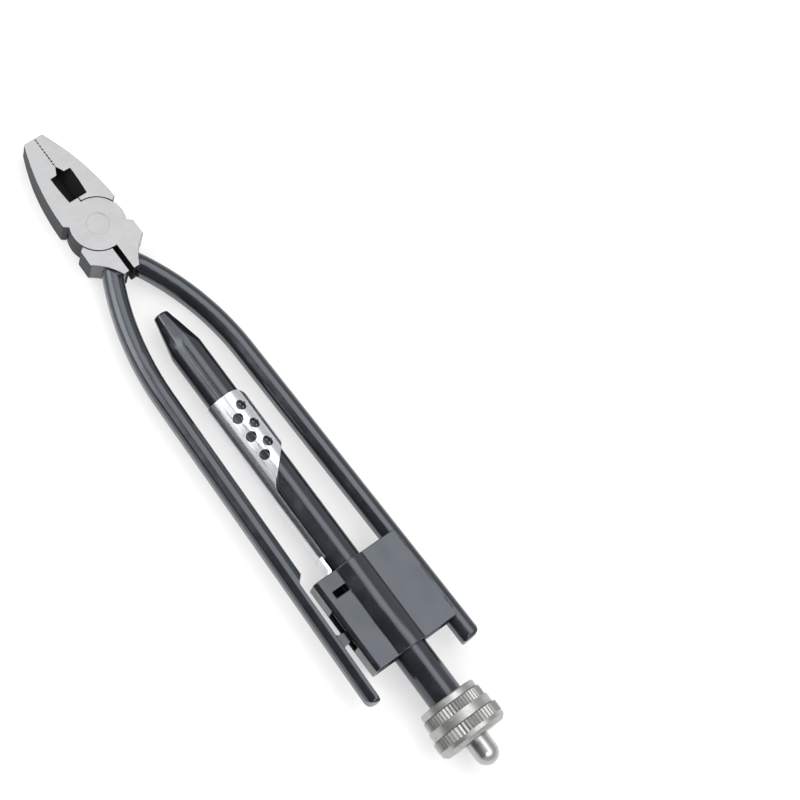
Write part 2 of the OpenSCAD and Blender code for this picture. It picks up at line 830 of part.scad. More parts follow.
module end_post() {
    color("silver") placed() {
        along(knob_x + knob_l) rotate_extrude() difference() {
            union() {
                square([post_r, post_l - post_r]);
                translate([0, post_l - post_r]) circle(post_r);
            }
            translate([-2 * post_r, -2 * post_r]) square([2 * post_r, 4 * post_l]);
            translate([-post_r, -2 * post_r]) square([4 * post_r, 2 * post_r]);
        }
        along(shank_x1 - stud_l) cylinder(h = knob_x + knob_l - shank_x1 + stud_l + over, r = stud_r);
    }
}

// Section of the spiral: four rounded flutes
module spiral_section(grow) {
    mean = spindle_r - flute_d / 2 + grow;
    polygon([
        for (i = [0 : spiral_points - 1])
            let (a = i * 360 / spiral_points, r = mean + flute_d / 2 * cos(4 * a)) [r * cos(a), r * sin(a)]
    ]);
}

// Spiral from distance x0 to x1, in step with every other spiral of the tool
module spiral(x0, x1, grow) {
    slices = ceil((x1 - x0) / lead * spiral_slices);
    along(x0) rotate([0, 0, 360 * x0 / lead])
        linear_extrude(x1 - x0, twist = -360 * (x1 - x0) / lead, slices = slices, segments = spiral_points)
            spiral_section(grow);
}

module twist_spindle() {
    color("darkgray") placed() difference() {
        union() {
            along(spindle_x) cylinder(h = flute_x0 - spindle_x + over, r = journal_r);
            spiral(flute_x0, shank_x0, 0);
            along(shank_x0 - over) cylinder(h = shank_x1 - shank_x0 + over, r = shank_r);
        }
        along(shank_x1 - stud_l - over) cylinder(h = stud_l + 2 * over, r = stud_r + fix_gap);
    }
}

module drive_nut() {
    color("peru") placed() difference() {
        along(nut_x0) cylinder(h = nut_l, r = bore_r - fix_gap);
        spiral(nut_x0 - over, nut_x1 + over, move_gap / 2);
    }
}

// One turn point of the spring's wire, seen along the tool
function spring_point(t, length) =
    let (a = 360 * t * spring_turns, r = bore_r - move_gap - wire_d / 2)
    [r * cos(a), r * sin(a), wire_d / 2 + t * (length - wire_d)];

module return_spring() {
    length = spring_x1 - spring_x0 - 2 * run_gap;
    sides = 6;
    rings = spring_turns * 12;
    points = [
        for (i = [0 : rings])
            let (t = i / rings, a = 360 * t * spring_turns, c = spring_point(t, length))
                for (j = [0 : sides - 1])
                    let (b = j * 360 / sides, u = wire_d / 2 * cos(b), v = wire_d / 2 * sin(b))
                        [c[0] + u * cos(a), c[1] + u * sin(a), c[2] + v]
    ];
    walls = [
        for (i = [0 : rings - 1], j = [0 : sides - 1])
            let (k = (j + 1) % sides)
                [i * sides + j, (i + 1) * sides + j, (i + 1) * sides + k, i * sides + k]
    ];
    caps = [
        [for (j = [0 : sides - 1]) j],
        [for (j = [sides - 1 : -1 : 0]) rings * sides + j],
    ];
    color("silver") placed() along(spring_x0 + run_gap)
        polyhedron(points = points, faces = concat(walls, caps), convexity = 10);
}

module spring_seat() {
    color("darkgray") placed() along(seat_x) difference() {
        cylinder(h = seat_t, r = bore_r - run_gap);
        translate([0, 0, -over]) cylinder(h = seat_t + 2 * over, r = journal_r + run_gap);
    }
}

module spindle_clip() {
    clip_t = 1;
    color("silver") placed() along(seat_x - clip_t - run_gap) difference() {
        cylinder(h = clip_t, r = journal_r + 1.4);
        translate([0, 0, -over]) cylinder(h = clip_t + 2 * over, r = journal_r + fix_gap);
        translate([0, -0.6, -over]) cube([2 * journal_r + 2, 1.2, clip_t + 2 * over]);
    }
}

module spring_washer() {
    color("silver") placed() along(spring_x1) difference() {
        cylinder(h = washer_t, r = bore_r - fix_gap);
        translate([0, 0, -over]) cylinder(h = washer_t + 2 * over, r = spigot_bore_r);
    }
}

front_lever();
rear_lever();
pivot_rivet();
latch_hook();
hook_weld();
housing_shell();
housing_welds();
barrel();
nut_tube();
latch_slide();
pull_knob();
end_post();
twist_spindle();
drive_nut();
return_spring();
spring_seat();
spindle_clip();
spring_washer();
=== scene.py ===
"""Looks of a pair of safety wire pliers: finishes, wound and welded details, and a plain studio.

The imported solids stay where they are. This script softens their edges, gives every surface its
finish, makes the spiral spindle, the coil spring and the weld beads as finer meshes, and sets up
the floor, the lights and the camera.
"""

import json
import logging
import math
from dataclasses import dataclass, field
from enum import Enum

import bmesh
import bpy
from mathutils import Matrix, Vector

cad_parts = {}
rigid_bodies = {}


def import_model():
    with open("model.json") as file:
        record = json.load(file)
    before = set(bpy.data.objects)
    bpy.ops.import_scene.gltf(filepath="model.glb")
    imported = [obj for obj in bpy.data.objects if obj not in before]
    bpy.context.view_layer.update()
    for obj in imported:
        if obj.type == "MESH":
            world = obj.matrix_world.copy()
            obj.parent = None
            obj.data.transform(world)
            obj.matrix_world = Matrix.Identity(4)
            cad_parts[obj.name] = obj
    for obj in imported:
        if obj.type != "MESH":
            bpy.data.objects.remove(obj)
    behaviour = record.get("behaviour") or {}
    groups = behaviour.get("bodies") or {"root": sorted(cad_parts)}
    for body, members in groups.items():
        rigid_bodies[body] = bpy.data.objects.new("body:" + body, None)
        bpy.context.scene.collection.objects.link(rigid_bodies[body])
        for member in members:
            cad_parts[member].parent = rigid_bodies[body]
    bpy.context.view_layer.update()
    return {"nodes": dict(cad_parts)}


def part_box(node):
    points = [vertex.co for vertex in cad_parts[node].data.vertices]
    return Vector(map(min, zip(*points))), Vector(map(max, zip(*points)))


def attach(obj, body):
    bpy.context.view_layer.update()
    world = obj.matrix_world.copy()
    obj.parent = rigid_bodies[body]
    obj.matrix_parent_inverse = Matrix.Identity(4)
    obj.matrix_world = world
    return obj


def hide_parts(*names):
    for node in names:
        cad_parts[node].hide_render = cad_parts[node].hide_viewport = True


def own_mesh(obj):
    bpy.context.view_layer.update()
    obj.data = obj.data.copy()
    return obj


LOG = logging.getLogger("pliers")
MM = 0.001
SHARP = 32.0
WELD_GAP = 0.02
MERGE_GAP = 1e-7
MIX_FIRST, MIX_SECOND, MIX_RESULT = 6, 7, 2
BEAD_LEAST = (0.75, 0.8, 0.8)
BEAD_MOST = (1.15, 1.25, 1.2)
BEAD_ROUNDNESS = 3
BEAD_FINENESS = 7
BEAD_SKIN = 0.1
ROD_CLOSING_ROWS = 2
COIL_CLOSED_TURNS = 1.5
COIL_CLOSED_PITCH = 1.03
COIL_STEPS = 28
WIRE_SIDES = 10
POWER_PER_GLOW = 4
WHITE = (1, 1, 1, 1)
Number = int | float
Span = tuple[float, float]
Triple = tuple[float, float, float]
Colour = Triple


class Body(Enum):
    """The moving bodies that new pieces ride on."""

    FRONT = "front_half"
    SPINDLE = "spindle"


class Slot(Enum):
    """Names of the record's material slots."""

    BLACK = "gloss_black"
    STEEL = "ground_steel"
    SPRING = "spring_steel"


class Value:
    """A node socket that takes part in Python expressions and adds Math nodes as it goes."""

    def __init__(self, tree: "Tree", socket: bpy.types.NodeSocket) -> None:
        """Holds the tree and the socket that gives the value."""
        self.tree = tree
        self.socket = socket

    def math(self, operation: str, *operands: "Value | Number") -> "Value":
        """Adds one Math node.

        Args:
            operation: The Math node's operation.
            operands: Its inputs, in order.

        Returns:
            The node's result.
        """
        return self.tree.node("ShaderNodeMath", {"operation": operation}, dict(enumerate(operands)))

    def __add__(self, other: "Value | Number") -> "Value":
        """Sum."""
        return self.math("ADD", self, other)

    __radd__ = __add__

    def __sub__(self, other: "Value | Number") -> "Value":
        """Difference."""
        return self.math("SUBTRACT", self, other)

    def __rsub__(self, other: Number) -> "Value":
        """Difference from a number."""
        return self.math("SUBTRACT", other, self)

    def __mul__(self, other: "Value | Number") -> "Value":
        """Product."""
        return self.math("MULTIPLY", self, other)

    __rmul__ = __mul__

    def __truediv__(self, other: "Value | Number") -> "Value":
        """Quotient."""
        return self.math("DIVIDE", self, other)

    def __abs__(self) -> "Value":
        """Size without sign."""
        return self.math("ABSOLUTE", self)

    def power(self, exponent: Number) -> "Value":
        """This value to a power."""
        return self.math("POWER", self, exponent)

    def cos(self) -> "Value":
        """Cosine of an angle in radians."""
        return self.math("COSINE", self)

    def sin(self) -> "Value":
        """Sine of an angle in radians."""
        return self.math("SINE", self)

    def step(self, low: Number, high: Number) -> "Value":
        """A smooth step.

        Args:
            low: Where the step gives 0.
            high: Where it gives 1. It may be the smaller of the two.

        Returns:
            The step's value, from 0 to 1.
        """
        settings = {"interpolation_type": "SMOOTHSTEP"}
        inputs = {0: self, 1: min(low, high), 2: max(low, high)}
        if low > high:
            inputs |= {3: 1.0, 4: 0.0}
        return self.tree.node("ShaderNodeMapRange", settings, inputs)

    def between(self, low: Number, high: Number, soft: Number) -> "Value":
        """1 inside a range and 0 outside it, with soft ends."""
        return self.step(low - soft, low + soft) * self.step(high + soft, high - soft)


class Tree:
    """A node tree with one way to add a node."""

    def __init__(self, tree: bpy.types.NodeTree) -> None:
        """Empties the tree and holds it."""
        self.tree = tree
        self.tree.nodes.clear()

    def node(
        self,
        kind: str,
        settings: dict[str, object] | None = None,
        inputs: dict[int | str, object] | None = None,
        output: int | str = 0,
    ) -> Value:
        """Adds one node.

        Args:
            kind: The node's type.
            settings: Its properties, set before its sockets.
            inputs: Values or links for its input sockets, by name or index.
            output: Which output is wanted.

        Returns:
            The wanted output.
        """
        made = self.tree.nodes.new(kind)
        for name, value in (settings or {}).items():
            setattr(made, name, value)
        for key, value in (inputs or {}).items():
            if isinstance(value, Value):
                self.tree.links.new(value.socket, made.inputs[key])
            else:
                made.inputs[key].default_value = value
        return Value(self, made.outputs[output])

    def xyz(self, vector: Value) -> tuple[Value, Value, Value]:
        """Splits a vector into its three values."""
        split = self.node("ShaderNodeSeparateXYZ", inputs={0: vector}).socket.node
        return tuple(Value(self, socket) for socket in split.outputs)

    def vector(self, x: Value | Number, y: Value | Number, z: Value | Number) -> Value:
        """Joins three values into a vector."""
        return self.node("ShaderNodeCombineXYZ", inputs={0: x, 1: y, 2: z})


def shaded(colour: Colour, shade: float) -> Colour:
    """A colour made darker or lighter by a factor."""
    return tuple(shade * part for part in colour)


class ShaderTree(Tree):
    """A material's nodes, with coordinates in the row frame's millimetres."""

    def __init__(self, name: str) -> None:
        """Starts a material.

        Args:
            name: The material's name.
        """
        self.material = bpy.data.materials.new(name)
        self.material.use_nodes = True
        super().__init__(self.material.node_tree)
        place = {0: self.node("ShaderNodeTexCoord", output="Object"), "Scale": 1 / MM}
        self.place = self.node("ShaderNodeVectorMath", {"operation": "SCALE"}, place)
        self.normal = self.node("ShaderNodeTexCoord", output="Normal")

    def grain(
        self, size: float, stretch: Triple = (1, 1, 1), detail: float = 3, rough: float = 0.55
    ) -> Value:
        """Noise from 0 to 1.

        Args:
            size: Size of the noise's features, in millimetres.
            stretch: How much longer the features are along each axis.
            detail: Octaves of finer noise.
            rough: Strength of the finer noise.

        Returns:
            The noise's value.
        """
        scale = {0: self.place, "Scale": tuple(1 / (size * s) for s in stretch)}
        place = self.node("ShaderNodeMapping", {"vector_type": "POINT"}, scale)
        inputs = {"Vector": place, "Scale": 1, "Detail": detail, "Roughness": rough}
        return self.node("ShaderNodeTexNoise", inputs=inputs)

    def blend(self, factor: Value, first: Value | Colour, second: Value | Colour) -> Value:
        """Mixes two colours.

        Args:
            factor: 0 gives the first colour and 1 the second.
            first: The first colour.
            second: The second colour.

        Returns:
            The mixed colour.
        """
        start, end = (c if isinstance(c, Value) else (*c, 1) for c in (first, second))
        inputs = {0: factor, MIX_FIRST: start, MIX_SECOND: end}
        return self.node("ShaderNodeMix", {"data_type": "RGBA"}, inputs, output=MIX_RESULT)

    def relief(self, height: Value, depth: float, below: Value | None = None) -> Value:
        """Bump from a height of 0 to 1.

        Args:
            height: The height.
            depth: What a height of 1 means, in millimetres.
            below: A normal that this bump lies on.

        Returns:
            The bumped normal.
        """
        inputs = {"Height": height, "Distance": depth * MM, "Strength": 1}
        if below is not None:
            inputs["Normal"] = below
        return self.node("ShaderNodeBump", inputs=inputs)

    def surface(self, **inputs: object) -> bpy.types.Material:
        """Ends the tree in a Principled shader.

        Args:
            inputs: The shader's sockets, with an underscore for each space.

        Returns:
            The finished material.
        """
        self.node_output(self.shader(**inputs))
        return self.material

    def shader(self, **inputs: object) -> Value:
        """Adds a Principled shader, with its sockets named as in surface()."""
        named = {name.replace("_", " "): value for name, value in inputs.items()}
        return self.node("ShaderNodeBsdfPrincipled", inputs=named)

    def node_output(self, shader: Value) -> None:
        """Links a shader to the material's output."""
        made = self.tree.nodes.new("ShaderNodeOutputMaterial")
        self.tree.links.new(shader.socket, made.inputs["Surface"])


@dataclass(frozen=True)
class PaintFinish:
    """Glossy black paint with a light orange peel."""

    name: str = "gloss_black_paint"
    colour: Colour = (0.0105, 0.0115, 0.014)
    sheen: Colour = (0.84, 0.91, 1.0)
    rough: float = 0.17
    ior: float = 1.8
    peel: float = 1.6
    peel_depth: float = 0.005
    wave: float = 9.0
    wave_depth: float = 0.055
    haze: float = 7.0
    haze_shades: Span = (0.75, 1.3)
    haze_band: Span = (0.35, 0.85)
    haze_rough: float = 0.1

    def coat(self, tree: ShaderTree) -> tuple[Value, Value, Value]:
        """Paints a surface.

        Args:
            tree: The material's nodes.

        Returns:
            Colour, roughness and normal of the paint.
        """
        wave = tree.relief(tree.grain(self.wave, detail=1), self.wave_depth)
        normal = tree.relief(tree.grain(self.peel, detail=2), self.peel_depth, wave)
        haze = tree.grain(self.haze, detail=4)
        colour = tree.blend(haze, *(shaded(self.colour, shade) for shade in self.haze_shades))
        return colour, self.rough + self.haze_rough * haze.step(*self.haze_band), normal

    def material(self) -> bpy.types.Material:
        """Makes a material of the paint alone.

        Returns:
            The paint.
        """
        tree = ShaderTree(self.name)
        colour, rough, normal = self.coat(tree)
        return tree.surface(
            Base_Color=colour,
            Roughness=rough,
            Normal=normal,
            IOR=self.ior,
            Specular_Tint=(*self.sheen, 1),
        )


@dataclass(frozen=True)
class GroundFinish:
    """Satin ground steel with fine straight grinding marks."""

    name: str = "ground_steel"
    colour: Colour = (0.405, 0.407, 0.415)
    tint: Colour = (0.385, 0.382, 0.375)
    rough: float = 0.5
    marks: float = 0.16
    marks_length: float = 45.0
    marks_depth: float = 0.0025
    marks_band: Span = (0.45, 0.8)
    marks_shade: float = 0.8
    marks_share: float = 0.35
    marks_rough: float = 0.12
    mottle: float = 6.0
    mottle_band: Span = (0.4, 0.75)

    def face(self, tree: ShaderTree) -> tuple[Value, Value, Value]:
        """Grinds a surface.

        Args:
            tree: The material's nodes.

        Returns:
            Colour, roughness and height of the ground face.
        """
        marks = tree.grain(self.marks, (1, self.marks_length, 1), detail=2)
        mottle = tree.grain(self.mottle, detail=3)
        colour = tree.blend(mottle.step(*self.mottle_band), self.colour, self.tint)
        scratched = marks.step(*self.marks_band) * self.marks_share
        colour = tree.blend(scratched, colour, shaded(self.colour, self.marks_shade))
        return colour, self.rough + self.marks_rough * (marks - 0.5), marks

    def material(self) -> bpy.types.Material:
        """Makes a material of the ground steel alone.

        Returns:
            The steel.
        """
        tree = ShaderTree(self.name)
        colour, rough, marks = self.face(tree)
        normal = tree.relief(marks, self.marks_depth)
        return tree.surface(Base_Color=colour, Roughness=rough, Metallic=1.0, Normal=normal)


@dataclass(frozen=True)
class LeverFinish:
    """A forged lever: painted handle, dark oxide on the head's walls and ground faces; painted shade, a
    matte near-black, in the cutter window and the crotch, and the walls darkened with the same
    near-black.
    """

    name: str
    pivot: Vector
    face_half: float
    face_end: float
    wall_end: float
    window: Triple
    crotch: Triple
    paint: PaintFinish = PaintFinish()
    ground: GroundFinish = GroundFinish()
    oxide: Colour = (0.04, 0.042, 0.046)
    # matte near-black: painted shade in the window and the crotch, also mixed over the walls at a fixed
    # share to darken them
    shade_black: Colour = (0.006, 0.006, 0.007)
    shade_black_rough: float = 0.75
    shade_black_ior: float = 1.25
    wall_darkening: float = 0.6
    oxide_rough: float = 0.42
    oxide_shades: Span = (0.7, 1.35)
    oxide_metal: float = 0.25
    scale: float = 0.7
    scale_fine: float = 0.65
    scale_depth: float = 0.02
    scale_rough: float = 0.15
    face_soft: float = 0.25
    face_skin: Span = (0.22, 0.08)
    face_tilt: Span = (0.72, 0.9)
    wall_soft: float = 0.4
    zone_soft: float = 0.3
    zone_inset: float = 0.1

    def material(self) -> bpy.types.Material:
        """Mixes the finishes by place and by the face's direction, and lays painted shade in the window
        and the crotch.

        Returns:
            The lever's finish.
        """
        tree = ShaderTree(self.name)
        x, y, z = tree.xyz(tree.place)
        _, _, facing = tree.xyz(tree.normal)
        pivot = self.pivot / MM
        level = abs(z - pivot.z)
        face_x, wall_x = pivot.x - self.face_end, pivot.x - self.wall_end
        face = x.step(face_x - self.face_soft, face_x + self.face_soft)
        skin = level.step(*(self.face_half - depth for depth in self.face_skin))
        ground = face * skin * abs(facing).step(*self.face_tilt)
        bare = x.step(wall_x - self.wall_soft, wall_x + self.wall_soft) * (1 - ground)
        # painted shade in the cutter window and the crotch
        painted_shade_zones = self.shade_zone(x - pivot.x, y, self.window) + self.shade_zone(x - pivot.x, y, self.crotch)
        paint_colour, paint_rough, paint_normal = self.paint.coat(tree)
        face_colour, face_rough, marks = self.ground.face(tree)
        scale = tree.grain(self.scale, detail=4, rough=self.scale_fine)
        oxide = tree.blend(scale, *(shaded(self.oxide, shade) for shade in self.oxide_shades))
        colour = tree.blend(bare, paint_colour, oxide)
        wall_rough = self.oxide_rough + self.scale_rough * (scale - 0.5)
        side_rough = bare * wall_rough + (1 - bare) * paint_rough
        normal = tree.relief(scale * bare, self.scale_depth, paint_normal)
        metal = tree.shader(
            Base_Color=tree.blend(ground, colour, face_colour),
            Roughness=ground * face_rough + (1 - ground) * side_rough,
            Metallic=ground + self.oxide_metal * bare,
            Normal=tree.relief(marks * ground, self.ground.marks_depth, normal),
            IOR=self.paint.ior,
            Specular_Tint=(*self.paint.sheen, 1),
        )
        # share of the near-black: the painted shade zones, and the walls darkened at a fixed share
        darkened = painted_shade_zones.math("MAXIMUM", painted_shade_zones, bare * self.wall_darkening)
        shade_coat = tree.shader(Base_Color=(*self.shade_black, 1), Roughness=self.shade_black_rough, IOR=self.shade_black_ior)
        mixed = {0: darkened * (1 - ground), 1: metal, 2: shade_coat}
        tree.node_output(tree.node("ShaderNodeMixShader", inputs=mixed))
        return tree.material

    def shade_zone(self, out: Value, side: Value, zone: Triple) -> Value:
        """Marks a zone that gets painted shade, a matte near-black.

        Args:
            out: Distance from the pivot along the tool.
            side: Distance from the tool's axis.
            zone: The zone's back end, front end and half width.

        Returns:
            1 in the zone and 0 outside it.
        """
        back, front, half = zone
        across = abs(side).step(half + self.zone_soft, half - self.zone_inset)
        return out.between(back, front, self.zone_soft) * across


@dataclass(frozen=True)
class PlateFinish:
    """Bright plating on steel, with a faint grain and a little colour drift."""

    name: str
    colour: Colour
    drift: Colour
    rough: float
    grain: float = 0.9
    grain_stretch: Triple = (6, 1, 1)
    grain_depth: float = 0.002
    drift_size: float = 9.0
    drift_band: Span = (0.35, 0.7)
    smear: float = 3.0
    smear_stretch: Triple = (3, 1, 1)
    smear_band: Span = (0.5, 0.8)
    rough_spread: float = 0.05

    def material(self) -> bpy.types.Material:
        """Makes the plated metal.

        Returns:
            Its material.
        """
        tree = ShaderTree(self.name)
        grain = tree.grain(self.grain, self.grain_stretch, detail=4)
        drift = tree.grain(self.drift_size, detail=2)
        smears = tree.grain(self.smear, self.smear_stretch, detail=3)
        colour = tree.blend(drift.step(*self.drift_band), self.colour, self.drift)
        uneven = self.rough_spread * (grain - 0.5)
        rough = self.rough + uneven + self.rough_spread * smears.step(*self.smear_band)
        normal = tree.relief(grain, self.grain_depth)
        return tree.surface(Base_Color=colour, Roughness=rough, Metallic=1.0, Normal=normal)


@dataclass(frozen=True)
class TurnedFinish:
    """Plated metal turned on a lathe: fine rings round the tool's axis and painted shade in the knurls'
    roots.
    """

    name: str
    colour: Colour
    rough: float
    axis_height: float
    ring_pitch: float = 0.22
    ring_depth: float = 0.002
    # colour of the painted shade in the knurls' roots
    knurl_shade: Colour = (0.12, 0.115, 0.105)
    knurl_shade_share: float = 0.4
    knurls: tuple[Triple, ...] = ()
    knurl_depth: float = 0.35
    knurl_top: float = 0.3
    knurl_soft: float = 0.05
    smear: float = 0.12
    smear_size: float = 2.2
    smear_shade_band: Span = (0.4, 0.75)
    smear_rough_band: Span = (0.45, 0.8)
    ring_length: float = 400.0
    ring_rough: float = 0.08

    def material(self) -> bpy.types.Material:
        """Makes the turned metal.

        Returns:
            Its material.
        """
        tree = ShaderTree(self.name)
        x, y, z = tree.xyz(tree.place)
        rise = z - self.axis_height
        radius = (y * y + rise * rise).power(0.5)
        rings = tree.grain(self.ring_pitch, (1, self.ring_length, self.ring_length), detail=1)
        smears = tree.grain(self.smear_size, detail=4)
        smeared = shaded(self.colour, 1 - self.smear)
        colour = tree.blend(smears.step(*self.smear_shade_band), self.colour, smeared)
        # painted shade: each knurl band is darkened towards the shade colour at its roots
        for start, end, top in self.knurls:
            root = radius.step(top - self.knurl_top * self.knurl_depth, top - self.knurl_depth)
            shaded_roots = x.between(start, end, self.knurl_soft) * root * self.knurl_shade_share
            colour = tree.blend(shaded_roots, colour, self.knurl_shade)
        uneven = self.ring_rough * (rings - 0.5)
        rough = self.rough + uneven + self.smear * smears.step(*self.smear_rough_band)
        normal = tree.relief(rings, self.ring_depth)
        return tree.surface(Base_Color=colour, Roughness=rough, Metallic=1.0, Normal=normal)


class GeometryTree(Tree):
    """A Geometry Nodes tree with named inputs for its sizes."""

    def __init__(self, name: str, sizes: dict[str, float | int]) -> None:
        """Starts a tree.

        Args:
            name: The tree's name.
            sizes: Each input's name and value. A whole number makes a whole-number input.
        """
        super().__init__(bpy.data.node_groups.new(name, "GeometryNodeTree"))
        self.sizes = sizes
        for size, value in sizes.items():
            kind = "NodeSocketInt" if isinstance(value, int) else "NodeSocketFloat"
            self.tree.interface.new_socket(size, in_out="INPUT", socket_type=kind)
        self.tree.interface.new_socket("Geometry", in_out="OUTPUT", socket_type="NodeSocketGeometry")
        self.entry = self.tree.nodes.new("NodeGroupInput")

    def size(self, name: str) -> Value:
        """One of the tree's named inputs."""
        return Value(self, self.entry.outputs[name])

    def mesh(self, geometry: Value, material: bpy.types.Material) -> bpy.types.Mesh:
        """Ends the tree, runs it and keeps the result.

        Args:
            geometry: What the tree makes.
            material: The finish of all its faces.

        Returns:
            A plain mesh.
        """
        smooth = self.node("GeometryNodeSetShadeSmooth", inputs={0: geometry})
        real = self.node("GeometryNodeRealizeInstances", inputs={0: smooth})
        dressed = self.node("GeometryNodeSetMaterial", inputs={0: real, "Material": material})
        end = self.tree.nodes.new("NodeGroupOutput")
        self.tree.links.new(dressed.socket, end.inputs[0])
        carrier = bpy.data.objects.new(self.tree.name, bpy.data.meshes.new(self.tree.name))
        bpy.context.scene.collection.objects.link(carrier)
        modifier = carrier.modifiers.new("make", "NODES")
        modifier.node_group = self.tree
        for item in self.tree.interface.items_tree:
            if item.in_out == "INPUT":
                modifier[item.identifier] = self.sizes[item.name]
        result = carrier.evaluated_get(bpy.context.evaluated_depsgraph_get())
        made = bpy.data.meshes.new_from_object(result)
        bpy.data.objects.remove(carrier)
        made.materials.clear()
        made.materials.append(material)
        made.polygons.foreach_set("material_index", [0] * len(made.polygons))
        return made


class ChangeTree(GeometryTree):
    """A Geometry Nodes tree that changes the mesh that it is given."""

    def __init__(self, name: str) -> None:
        """Starts a tree with the mesh as its only input."""
        super().__init__(name, {})
        self.tree.interface.new_socket("Geometry", in_out="INPUT", socket_type="NodeSocketGeometry")

    def given(self) -> Value:
        """The mesh that comes in."""
        return Value(self, self.entry.outputs["Geometry"])

    def ended(self, geometry: Value) -> bpy.types.NodeTree:
        """Links the changed mesh to the output.

        Args:
            geometry: The changed mesh.

        Returns:
            The finished tree.
        """
        end = self.tree.nodes.new("NodeGroupOutput")
        self.tree.links.new(geometry.socket, end.inputs[0])
        return self.tree


def smooth_tree() -> bpy.types.NodeTree:
    """A tree that only turns smooth shading on, for softened solids."""
    tree = ChangeTree("smooth_all")
    return tree.ended(tree.node("GeometryNodeSetShadeSmooth", inputs={0: tree.given()}))


def lever_edges(
    pivot: Vector, rivet: float, jaw: Span, tip: float, fine: float
) -> bpy.types.NodeTree:
    """A tree that says how much each sharp edge of a lever is softened.

    Args:
        pivot: The rivet's middle in metres.
        rivet: Radius round it in which edges stay crisp, in millimetres.
        jaw: Start and half width of the serrated strip, where edges stay crisp too.
        tip: Distance from the rivet past which the jaw's tip stays crisp.
        fine: Share of the softening that crisp edges get.

    Returns:
        The tree, which writes the edges' bevel weights.
    """
    tree = ChangeTree("lever_edges")
    angle = tree.node("GeometryNodeInputMeshEdgeAngle")
    sharp = angle.math("GREATER_THAN", angle, math.radians(SHARP))
    x, y, _ = tree.xyz(tree.node("GeometryNodeInputPosition"))
    out, side = x - pivot.x, y - pivot.y
    near = out.math("LESS_THAN", (out * out + side * side).power(0.5), rivet * MM)
    start, half = jaw
    bite = out.math("GREATER_THAN", out, start * MM) * out.math("LESS_THAN", abs(side), half * MM)
    point = out.math("GREATER_THAN", out, tip * MM)
    crisp = near.math("MAXIMUM", near, bite.math("MAXIMUM", bite, point))
    share = sharp * (1 - (1 - fine) * crisp)
    stored = tree.node(
        "GeometryNodeStoreNamedAttribute",
        {"data_type": "FLOAT", "domain": "EDGE"},
        {"Geometry": tree.given(), "Name": "bevel_weight_edge", "Value": share},
    )
    return tree.ended(stored)


@dataclass
class Assembly:
    """A sub-assembly: solids that get a finish and finer pieces that stand for some of them."""

    nodes: dict[str, bpy.types.Object]
    smooth: bpy.types.NodeTree
    pieces: list[str] = field(default_factory=list)

    def dress(
        self,
        node: str,
        material: bpy.types.Material,
        edge: float = 0.0,
        segments: int = 2,
        weights: bpy.types.NodeTree | None = None,
    ) -> None:
        """Gives a solid its finish and soft edges.

        Args:
            node: The solid's name.
            material: Its finish.
            edge: Width of the softened edges in millimetres, or 0 for none.
            segments: Steps across a softened edge.
            weights: A tree that gives each edge its share of that width.
        """
        solid = self.nodes[node]
        solid.data.materials.clear()
        solid.data.materials.append(material)
        self.pieces.append(node)
        if not edge:
            return
        weld = solid.modifiers.new("weld", "WELD")
        weld.merge_threshold = WELD_GAP * MM
        if weights:
            solid.modifiers.new("edge_shares", "NODES").node_group = weights
        bevel = solid.modifiers.new("soft_edges", "BEVEL")
        bevel.width = edge * MM
        bevel.segments = segments
        bevel.limit_method = "WEIGHT" if weights else "ANGLE"
        bevel.angle_limit = math.radians(SHARP)
        bevel.use_clamp_overlap = False
        smooth = solid.modifiers.new("smooth", "NODES")
        smooth.node_group = self.smooth
        solid.modifiers.new("even_normals", "WEIGHTED_NORMAL")

    def piece(
        self, name: str, mesh: bpy.types.Mesh, body: Body, slot: Slot, *stands_for: str
    ) -> bpy.types.Object:
        """Adds a finer piece in place of solids.

        Args:
            name: The piece's name.
            mesh: Its mesh, in the row frame.
            body: The body that it rides on.
            slot: A slot of the record; not used.
            stands_for: The solids that it replaces.

        Returns:
            The piece.
        """
        made = bpy.data.objects.new(name, mesh)
        bpy.context.scene.collection.objects.link(made)
        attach(made, body.value)
        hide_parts(*stands_for)
        self.pieces.append(name)
        return made


def weld_bead(
    length: float, radius: float, lumps: int, seed: int, material: bpy.types.Material
) -> bpy.types.Mesh:
    """A lumpy weld bead along X, from the origin.

    Args:
        length: Length of the bead in metres.
        radius: Its mean radius in metres.
        lumps: Number of ripples.
        seed: Which random shape.
        material: Its finish.

    Returns:
        The bead's mesh.
    """
    voxel = radius / BEAD_FINENESS
    tree = GeometryTree(
        "weld_bead",
        {"Length": length, "Radius": radius, "Lumps": lumps, "Seed": seed, "Voxel": voxel},
    )
    step = tree.size("Length") / (tree.size("Lumps") - 1)
    line = tree.node(
        "GeometryNodeMeshLine",
        inputs={"Count": tree.size("Lumps"), "Offset": tree.vector(step, 0.0, 0.0)},
    )
    random = {"Min": BEAD_LEAST, "Max": BEAD_MOST, "Seed": tree.size("Seed")}
    scale = tree.node("FunctionNodeRandomValue", {"data_type": "FLOAT_VECTOR"}, random)
    ball = tree.node(
        "GeometryNodeMeshIcoSphere",
        inputs={"Radius": tree.size("Radius"), "Subdivisions": BEAD_ROUNDNESS},
    )
    balls = tree.node(
        "GeometryNodeInstanceOnPoints", inputs={"Points": line, "Instance": ball, "Scale": scale}
    )
    solid = tree.node("GeometryNodeRealizeInstances", inputs={0: balls})
    volume = tree.node(
        "GeometryNodeMeshToVolume",
        {"resolution_mode": "VOXEL_SIZE"},
        {
            "Mesh": solid,
            "Density": 1.0,
            "Voxel Size": tree.size("Voxel"),
            "Interior Band Width": tree.size("Radius"),
        },
    )
    skin = tree.node(
        "GeometryNodeVolumeToMesh",
        {"resolution_mode": "VOXEL_SIZE"},
        {
            "Volume": volume,
            "Voxel Size": tree.size("Voxel"),
            "Threshold": BEAD_SKIN,
            "Adaptivity": 0.0,
        },
    )
    return tree.mesh(skin, material)


